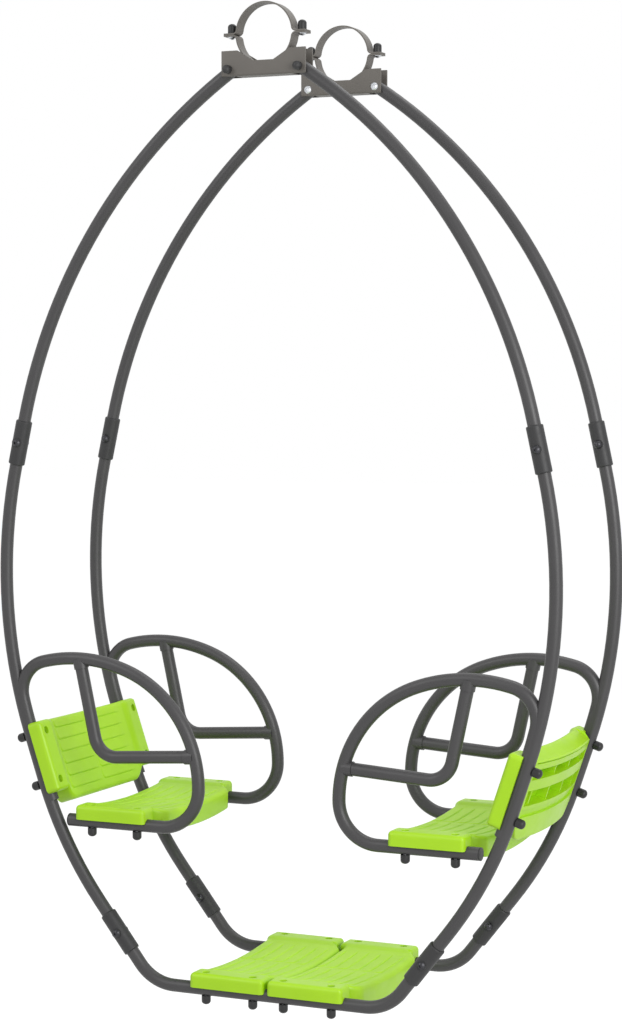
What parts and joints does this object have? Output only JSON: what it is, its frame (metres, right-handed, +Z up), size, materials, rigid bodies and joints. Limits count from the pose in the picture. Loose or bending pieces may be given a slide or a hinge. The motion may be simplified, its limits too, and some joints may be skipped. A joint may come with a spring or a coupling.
{
  "type": "glider swing",
  "caption": "Face-to-face glider swing hung from a round beam by ring clamps, with curved tube side frames, armrest hoops and moulded seats, backrests and foot boards.",
  "frame": {"origin": "on the beam's axis, midway between the two side frames", "axes": "+Z up, +Y along the beam, +X the swinging direction; front is +X, right is +Y"},
  "size_m": [1.263, 0.4596, 2.0554],
  "materials": {
    "green_plastic": "lime green moulded plastic, fine satin grain",
    "grey_powder_coat": "dark grey powder coat, semi-gloss",
    "charcoal_plastic": "charcoal moulded plastic, satin",
    "bracket_coat": "warm grey coated steel, satin",
    "zinc_steel": "bright zinc plating",
    "black_steel": "dark coated steel"
  },
  "bodies": {
    "swing": {"armrest_hoop_left_front": "grey_powder_coat", "armrest_hoop_left_rear": "grey_powder_coat", "armrest_hoop_right_front": "grey_powder_coat", "armrest_hoop_right_rear": "grey_powder_coat", "back_board_bolts": "zinc_steel", "back_board_front": "green_plastic", "back_board_rear": "green_plastic", "board_bolts": "zinc_steel", "board_nut_caps": "charcoal_plastic", "board_nuts": "zinc_steel", "clamp_bolts_left": "zinc_steel", "clamp_bolts_right": "zinc_steel", "clamp_lower_strap_left": "bracket_coat", "clamp_lower_strap_right": "bracket_coat", "foot_board_front": "green_plastic", "foot_board_rear": "green_plastic", "foot_tube_left": "grey_powder_coat", "foot_tube_right": "grey_powder_coat", "grab_bar_left_front": "grey_powder_coat", "grab_bar_left_rear": "grey_powder_coat", "grab_bar_right_front": "grey_powder_coat", "grab_bar_right_rear": "grey_powder_coat", "hanger_bolts": "zinc_steel", "hanger_nut_caps": "charcoal_plastic", "hanger_nuts": "zinc_steel", "hanger_spacers": "zinc_steel", "hanger_tube_left_front": "grey_powder_coat", "hanger_tube_left_rear": "grey_powder_coat", "hanger_tube_right_front": "grey_powder_coat", "hanger_tube_right_rear": "grey_powder_coat", "hoop_end_plugs": "charcoal_plastic", "joint_bolts": "black_steel", "joint_cap_nuts": "black_steel", "lower_joint_sleeve_left_front": "charcoal_plastic", "lower_joint_sleeve_left_rear": "charcoal_plastic", "lower_joint_sleeve_right_front": "charcoal_plastic", "lower_joint_sleeve_right_rear": "charcoal_plastic", "saddle_bracket_left": "bracket_coat", "saddle_bracket_right": "bracket_coat", "seat_board_front": "green_plastic", "seat_board_rear": "green_plastic", "seat_tube_left_front": "grey_powder_coat", "seat_tube_left_rear": "grey_powder_coat", "seat_tube_right_front": "grey_powder_coat", "seat_tube_right_rear": "grey_powder_coat", "upper_joint_sleeve_left_front": "charcoal_plastic", "upper_joint_sleeve_left_rear": "charcoal_plastic", "upper_joint_sleeve_right_front": "charcoal_plastic", "upper_joint_sleeve_right_rear": "charcoal_plastic"},
    "clamp_top_left": {"clamp_nut_caps_left": "charcoal_plastic", "clamp_nuts_left": "zinc_steel", "clamp_upper_strap_left": "bracket_coat"},
    "clamp_top_right": {"clamp_nut_caps_right": "charcoal_plastic", "clamp_nuts_right": "zinc_steel", "clamp_upper_strap_right": "bracket_coat"}
  },
  "joints": [
    {"name": "clamp_top_left_lift", "type": "slide", "parent": "swing", "child": "clamp_top_left", "axis": [0, 0, 1], "range_m": [0, 0.15]},
    {"name": "clamp_top_right_lift", "type": "slide", "parent": "swing", "child": "clamp_top_right", "axis": [0, 0, 1], "range_m": [0, 0.15]}
  ]
}
